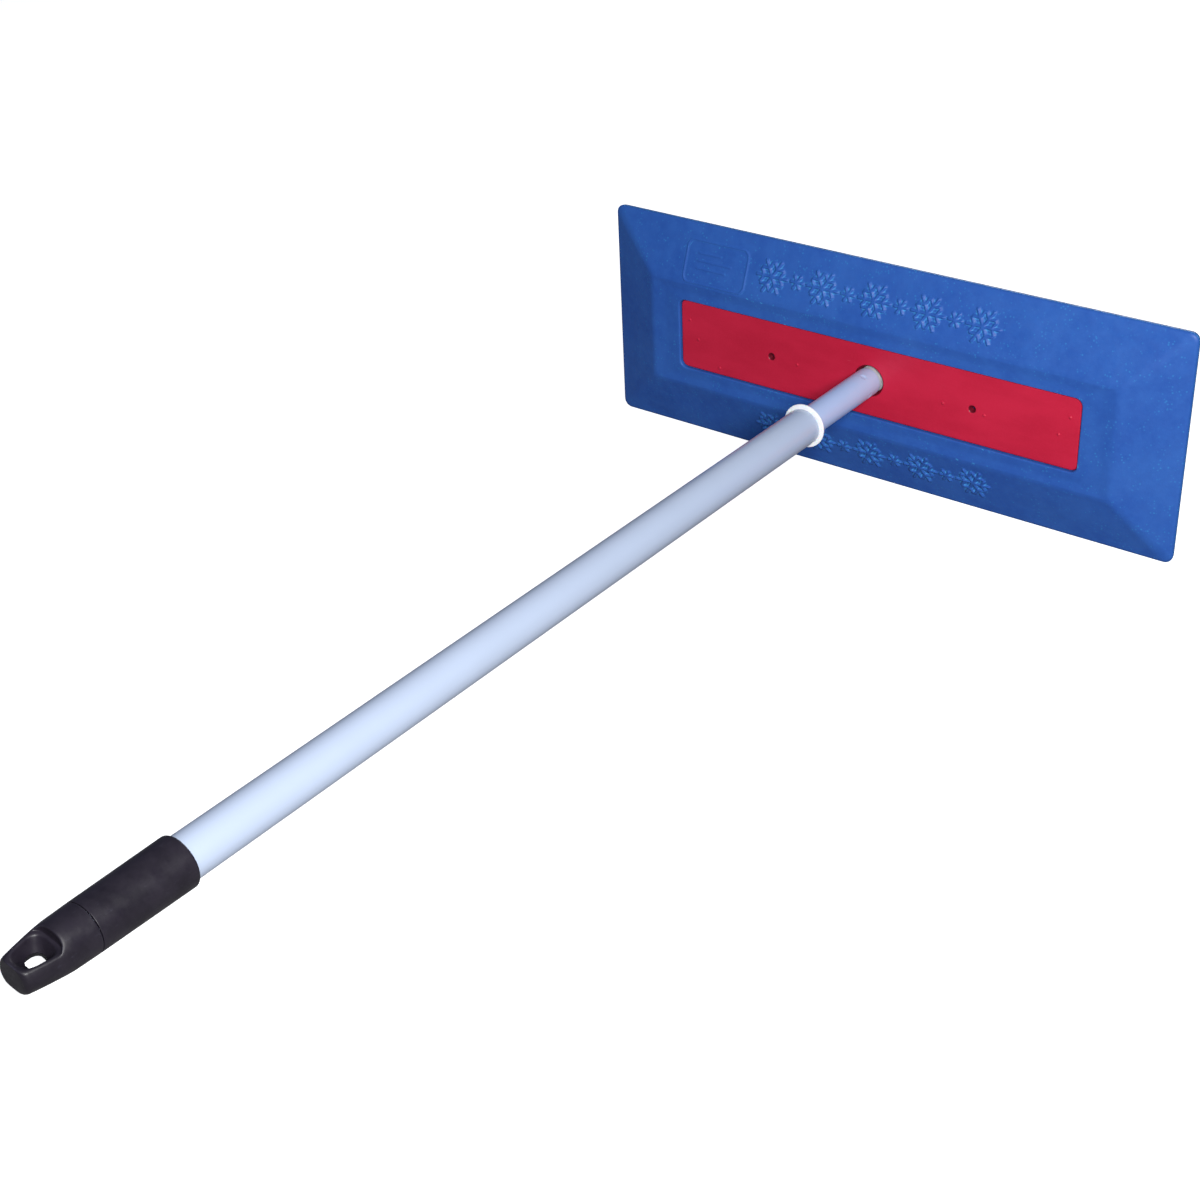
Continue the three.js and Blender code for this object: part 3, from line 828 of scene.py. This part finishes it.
def with_crimps(rows, y):
    """Rows of a tube with a ring of small round punch marks pressed in at a place along it."""
    x, z = rows[..., 0], rows[..., 2]
    radius = np.hypot(x, z)
    turn = np.arctan2(z, x)
    for i in range(CRIMP_COUNT):
        off_turn = (turn - CRIMP_TURN - i * FULL_TURN / CRIMP_COUNT + math.pi) % FULL_TURN - math.pi
        distance = np.hypot(off_turn * inner.radius, rows[..., 1] - y)
        pressed = CRIMP_DEPTH * np.exp(-((distance / CRIMP_RADIUS) ** 4))
        raised = 0.1 * np.exp(-(((distance - CRIMP_RADIUS * 1.3) / 0.5) ** 2))
        shrink = 1 - (pressed - raised) / np.maximum(radius, 1)
        rows[..., 0] *= shrink
        rows[..., 2] *= shrink
    return rows


def inner_tube():
    bore = inner.radius - TUBE_WALL
    nose, rear = inner.front, inner.rear
    crimps = (nose - CRIMP_FROM_END, rear + CRIMP_FROM_END)
    profile = rounded(
        [
            (bore, nose, 0.3),
            (bore, rear, 0.3),
            (inner.radius, rear, 0.4),
            (inner.radius, nose, 0.5),
        ],
    )
    coarse, fine, near = 6, 0.4, 5
    profile = divided(profile, lambda spot: coarse)
    profile = divided(profile, lambda spot: fine if min(abs(spot[1] - y) for y in crimps) < near else coarse)
    rows = turned(profile)
    for y in crimps:
        rows = with_crimps(rows, y)
    piece = add_loft("inner_tube_painted", "inner_pole", INNER_PAINT, rows, closed=True)
    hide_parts("inner_tube")


def outer_tube():
    bore = outer.radius - TUBE_WALL
    profile = rounded(
        [
            (bore, outer.front, 0.3),
            (bore, outer.rear, 0.3),
            (outer.radius, outer.rear, 0.3),
            (outer.radius, outer.front, 0.5),
        ],
    )
    profile = divided(profile, lambda spot: 20)
    rows = turned(profile)
    piece = add_loft("outer_tube_painted", "outer_pole", OUTER_PAINT, rows, closed=True)
    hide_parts("outer_tube")


def threaded_tip():
    """Shank, shoulder and a thread that fades in and out at its ends."""
    shank = inner.radius - TUBE_WALL - SLIDING_GAP
    shoulder_from = inner.front + RECESS_GAP
    shoulder_to = shoulder_from + SHOULDER_LENGTH
    profile = rounded(
        [
            (0, tip.rear, 0),
            (shank, tip.rear, 0.8),
            (shank, shoulder_from, 0),
            (SHOULDER_RADIUS, shoulder_from, 0.3),
            (SHOULDER_RADIUS, shoulder_to, 0.3),
            (THREAD_ROOT_RADIUS, shoulder_to, 0.3),
            (THREAD_ROOT_RADIUS, tip.front, 0.8),
            (0, tip.front, 0),
        ],
        closed=False,
    )
    profile = divided(profile, lambda spot: 0.28 if spot[1] > shoulder_to else 4)
    rows = turned(profile)
    y = rows[..., 1]
    turn = np.arctan2(rows[..., 2], rows[..., 0]) / FULL_TURN
    phase = np.abs((y / THREAD_PITCH + turn) % 1 - 0.5) * 2
    ridge = np.clip((0.72 - phase) / 0.28, 0, 1)
    ridge = ridge**2 * (3 - 2 * ridge)
    fade = np.clip((y - shoulder_to - 0.6) / 1.5, 0, 1) * np.clip((tip.front - 0.8 - y) / 2, 0, 1)
    radius = np.hypot(rows[..., 0], rows[..., 2])
    on_thread = (radius > THREAD_ROOT_RADIUS - 0.05) & (y > shoulder_to)
    rise = (THREAD_RADIUS - THREAD_ROOT_RADIUS) * ridge * fade
    swell = np.where(on_thread, 1 + rise / np.maximum(radius, 1), 1)
    rows[..., 0] *= swell
    rows[..., 2] *= swell
    piece = add_loft("threaded_tip_moulded", "inner_pole", LOCK_PALE, rows)
    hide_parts("threaded_tip")


def collar_bush():
    """Flange outside the tube's mouth, sleeve inside it."""
    bore = inner.radius + SLIDING_GAP
    inside = outer.radius - TUBE_WALL - SLIDING_GAP
    flange_rear = outer.front + RECESS_GAP
    profile = rounded(
        [
            (bore, collar.front, 0.5),
            (bore, collar.rear, 0.3),
            (inside, collar.rear, 0.8),
            (inside, flange_rear, 0),
            (collar.radius, flange_rear, 0.4),
            (collar.radius, collar.front, 0.8),
        ],
    )
    rows = turned(profile)
    piece = add_loft("collar_bush_moulded", "outer_pole", collar_finish(), rows, closed=True)
    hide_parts("collar_bush")


# ---- Twist lock ----


def lock_plug():
    """Circles along the plug: shank, flange, the journal off the pole axis, and the head that keeps the
    ring on."""
    shank = inner.radius - TUBE_WALL - SLIDING_GAP
    flange_front, flange_rear = inner.rear - RECESS_GAP, inner.rear - PLUG_FLANGE
    head_front = plug.rear + PLUG_HEAD_LENGTH
    profile = rounded(
        [
            (0, plug.rear, 0),
            (PLUG_HEAD_RADIUS, plug.rear, 0.7),
            (PLUG_HEAD_RADIUS, head_front, 0.4),
            (JOURNAL_RADIUS, head_front, 0.3),
            (JOURNAL_RADIUS, flange_rear, 0.3),
            (plug.radius, flange_rear, 0.4),
            (plug.radius, flange_front, 0.3),
            (shank, flange_front, 0),
            (shank, plug.front, 0.8),
            (0, plug.front, 0),
        ],
        closed=False,
    )
    profile = divided(profile, lambda spot: 3)
    rows = turned(profile, 96)
    on_journal = (profile[:, 1] > head_front - 0.01) & (profile[:, 1] < flange_rear + 0.01)
    on_journal &= profile[:, 0] < JOURNAL_RADIUS + 0.4
    rows[..., 0] += np.where(on_journal, ECCENTRICITY, 0)[:, None]
    piece = add_loft("lock_plug_moulded", "inner_pole", LOCK_PALE, rows)
    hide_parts("lock_plug")


def ring_field(points):
    """Split ring with a bore off the pole axis and grooves that help it grip."""
    x, y, z = points[..., 0], points[..., 1], points[..., 2]
    radius = np.hypot(x, z)
    middle = (ring.front + ring.rear) / 2
    groove = GROOVE_DEPTH * (1 + np.cos((y - middle) * FULL_TURN / GROOVE_PITCH)) / 2
    ends = np.abs(y - middle) - (ring.front - ring.rear) / 2
    outside = smooth_max(radius - ring.radius + groove, ends, 1.0)
    solid = smooth_max(outside, RING_BORE - np.hypot(x - ECCENTRICITY, z), 0.6)
    slot = np.minimum(x - RING_SLOT_FROM, RING_SLOT / 2 - np.abs(z))
    return smooth_max(solid, slot, 0.5)


def lock_ring():
    reach = ring.radius + 1
    places = np.arange(-reach, reach + 0.4, 0.4)
    along = np.arange(ring.rear - 1, ring.front + 1.3, 0.3)
    grid = (places, along, places)
    piece = add_skin("lock_ring_moulded", "lock_ring", "lock_plastic", LOCK_PALE, ring_field, *grid)
    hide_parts("lock_ring")


# ---- Grip ----

def grip_sleeve():
    bore = outer.radius + SLIDING_GAP
    profile = rounded(
        [
            (bore, sleeve.front, 0.4),
            (bore, sleeve.rear, 0.3),
            (GRIP_SEAM_RADIUS, sleeve.rear, 0.35),
            (sleeve.radius, sleeve.front, 1.3),
        ],
    )
    profile = divided(profile, lambda spot: 3)
    rows = turned(profile)
    piece = add_loft("grip_sleeve_moulded", "outer_pole", GRIP_BLACK, rows, closed=True)
    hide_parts("grip_sleeve")


def bend(start, middle, end, steps=24):
    """Points of a quadratic curve."""
    t = np.linspace(0, 1, steps)[:, None]
    start, middle, end = (np.array(spot, float) for spot in (start, middle, end))
    return (1 - t) ** 2 * start + 2 * t * (1 - t) * middle + t**2 * end


# The cap's outside as (radius, y), from the middle of its blunt end to the seam with the sleeve.
CAP_OUTLINE = np.concatenate(
    [
        [(0, cap.rear)],
        bend((TIP_FLAT_RADIUS, cap.rear), (TIP_BEND_RADIUS, cap.rear), SHOULDER_END),
        bend(SHOULDER_END, TAPER_BEND, TAPER_START)[1:],
        [(GRIP_SEAM_RADIUS, sleeve.rear - RECESS_GAP)],
    ]
)


def outline_distance(radius, y):
    """Distance to the cap's outer profile, negative inside."""
    nearest = np.full(radius.shape, np.inf)
    for (r0, y0), (r1, y1) in zip(CAP_OUTLINE[:-1], CAP_OUTLINE[1:]):
        line_r, line_y = r1 - r0, y1 - y0
        along = ((radius - r0) * line_r + (y - y0) * line_y) / (line_r**2 + line_y**2)
        along = np.clip(along, 0, 1)
        gap = np.hypot(radius - r0 - along * line_r, y - y0 - along * line_y)
        nearest = np.minimum(nearest, gap)
    limit = np.interp(y, CAP_OUTLINE[1:, 1], CAP_OUTLINE[1:, 0])
    inside = (radius < limit) & (y > cap.rear)
    return np.where(inside, -nearest, nearest)


def oval_level(across, along, half_width, half_length, power):
    """Rough distance to an oval with squared corners, negative inside."""
    total = np.abs(across / half_width) ** power + np.abs(along / half_length) ** power
    level = total ** (1 / power)
    return (level - 1) * np.minimum(half_width, half_length)


def hang_bowls(across, depth, y):
    """Both bowls at once: round at the throat on the pole axis, wider and squarer towards their mouths."""
    share = np.clip(depth / FLAT_DEPTH, 0, 1.3)
    bowl_half = (BOWL_FRONT_Y - BOWL_REAR_Y) / 2
    middle = HANG_HOLE_Y + ((BOWL_FRONT_Y + BOWL_REAR_Y) / 2 - HANG_HOLE_Y) * share
    half_length = HANG_HOLE_RADIUS + (bowl_half - HANG_HOLE_RADIUS) * share
    widening = BOWL_WIDENING * np.clip((y - middle) / half_length, -1, 1) * share
    half_width = HANG_HOLE_RADIUS + (BOWL_HALF_WIDTH - HANG_HOLE_RADIUS) * share + widening
    power = 2 + (BOWL_POWER - 2) * share
    return oval_level(across, y - middle, half_width, half_length, power) * 0.85


def cap_field(points):
    """The cap's taper and blunt end, its hollow plug, and the hang hole. The hole lies between two
    bowls, sunk in flats that run out through the blunt end."""
    x, y, z = points[..., 0], points[..., 1], points[..., 2]
    radius = np.hypot(x, z)
    seam = sleeve.rear - RECESS_GAP
    body = smooth_max(outline_distance(radius, np.minimum(y, seam - 0.01)), y - seam, 0.8)
    plug_radius = outer.radius - TUBE_WALL - SLIDING_GAP
    stem = smooth_max(radius - plug_radius, np.maximum(y - cap.front, seam - 3 - y), 0.8)
    solid = np.minimum(body, stem)
    hollow = smooth_max(radius - plug_radius + 2, seam + 4 - y, 0.8)
    solid = smooth_max(solid, -hollow, 0.6)
    across = x * math.sin(HANG_HOLE_TURN) - z * math.cos(HANG_HOLE_TURN)
    depth = np.abs(x * math.cos(HANG_HOLE_TURN) + z * math.sin(HANG_HOLE_TURN))
    flat_along = y - FLAT_FRONT_Y + FLAT_HALF_LENGTH
    flat = oval_level(across, flat_along, FLAT_HALF_WIDTH, FLAT_HALF_LENGTH, FLAT_POWER)
    solid = smooth_max(solid, -smooth_max(flat, FLAT_DEPTH - depth, 0.6), 0.9)
    return smooth_max(solid, -hang_bowls(across, depth, y), 0.9)


def hang_cap():
    reach = GRIP_SEAM_RADIUS + 1
    places = np.arange(-reach, reach + 0.45, 0.45)
    along = np.arange(cap.rear - 1, cap.front + 1.45, 0.45)
    grid = (places, along, places)
    piece = add_skin("hang_cap_moulded", "outer_pole", "grip_black", GRIP_BLACK, cap_field, *grid)
    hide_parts("hang_cap")


# ---- Stage: floor, light and camera ----

FLOOR_GLOW = 0.8
CAMERA_PLACE = (0.60294, -0.7522, 0.53879)
CAMERA_AZIMUTH = math.radians(37.1)
CAMERA_ELEVATION = math.radians(27.02)
CAMERA_ROLL = math.radians(0.95)
CAMERA_LENS = 58.93


def floor():
    side = 60
    level = -0.0002
    mesh = bpy.data.meshes.new("floor")
    corners = [(-side, -side), (side, -side), (side, side), (-side, side)]
    mesh.from_pydata([(x, y, level) for x, y in corners], [], [(0, 1, 2, 3)])
    mesh.materials.append(floor_finish())
    sheet = bpy.data.objects.new("floor", mesh)
    bpy.context.scene.collection.objects.link(sheet)


def soft_light(name, place, target, size, power):
    light = bpy.data.lights.new(name, "AREA")
    light.shape = "DISK"
    light.size = size
    light.energy = power
    lamp = bpy.data.objects.new(name, light)
    lamp.location = place
    lamp.rotation_euler = (Vector(target) - Vector(place)).to_track_quat("-Z", "Y").to_euler()
    bpy.context.scene.collection.objects.link(lamp)


def studio():
    """A near soft key just to the right of the camera, weak fills above and behind, a dim surround."""
    world = bpy.data.worlds.new("studio")
    world.use_nodes = True
    surround = world.node_tree.nodes["Background"]
    surround.inputs["Color"].default_value = (0.75, 0.9, 1.35, 1)
    surround.inputs["Strength"].default_value = 0.12
    bpy.context.scene.world = world
    soft_light("key", (0.74, -0.67, 0.64), (0, 0.15, 0.03), 0.34, 21)
    soft_light("overhead", (-0.3, 0.1, 2.4), (0, 0, 0), 2.4, 3)
    soft_light("rear_fill", (-0.6, 2.3, 0.9), (0, 0.35, 0.1), 1.2, 12)
    bpy.context.scene.view_settings.view_transform = "Standard"


def camera():
    forward = Vector(
        (
            -math.sin(CAMERA_AZIMUTH) * math.cos(CAMERA_ELEVATION),
            math.cos(CAMERA_AZIMUTH) * math.cos(CAMERA_ELEVATION),
            -math.sin(CAMERA_ELEVATION),
        )
    )
    level_right = Vector((math.cos(CAMERA_AZIMUTH), math.sin(CAMERA_AZIMUTH), 0))
    level_up = level_right.cross(forward)
    right = level_right * math.cos(CAMERA_ROLL) + level_up * math.sin(CAMERA_ROLL)
    up = right.cross(forward)
    lens = bpy.data.cameras.new("camera")
    lens.lens = CAMERA_LENS
    lens.sensor_width = 36
    lens.clip_start = 0.01
    viewer = bpy.data.objects.new("camera", lens)
    turn = Matrix((right, up, -forward)).transposed().to_4x4()
    viewer.matrix_world = Matrix.Translation(CAMERA_PLACE) @ turn
    bpy.context.scene.collection.objects.link(viewer)
    bpy.context.scene.camera = viewer


INNER_PAINT = paint_finish("inner_tube_paint", (0.435, 0.53, 0.75, 1), 0.03)
OUTER_PAINT = paint_finish("outer_tube_paint", (0.425, 0.495, 0.625, 1), 0.012)
GRIP_BLACK = grip_finish()
LOCK_PALE = lock_finish()

foam_head()
mounting_plate()
threaded_tip()
inner_tube()
lock_plug()
lock_ring()
outer_tube()
collar_bush()
grip_sleeve()
hang_cap()
floor()
studio()
camera()
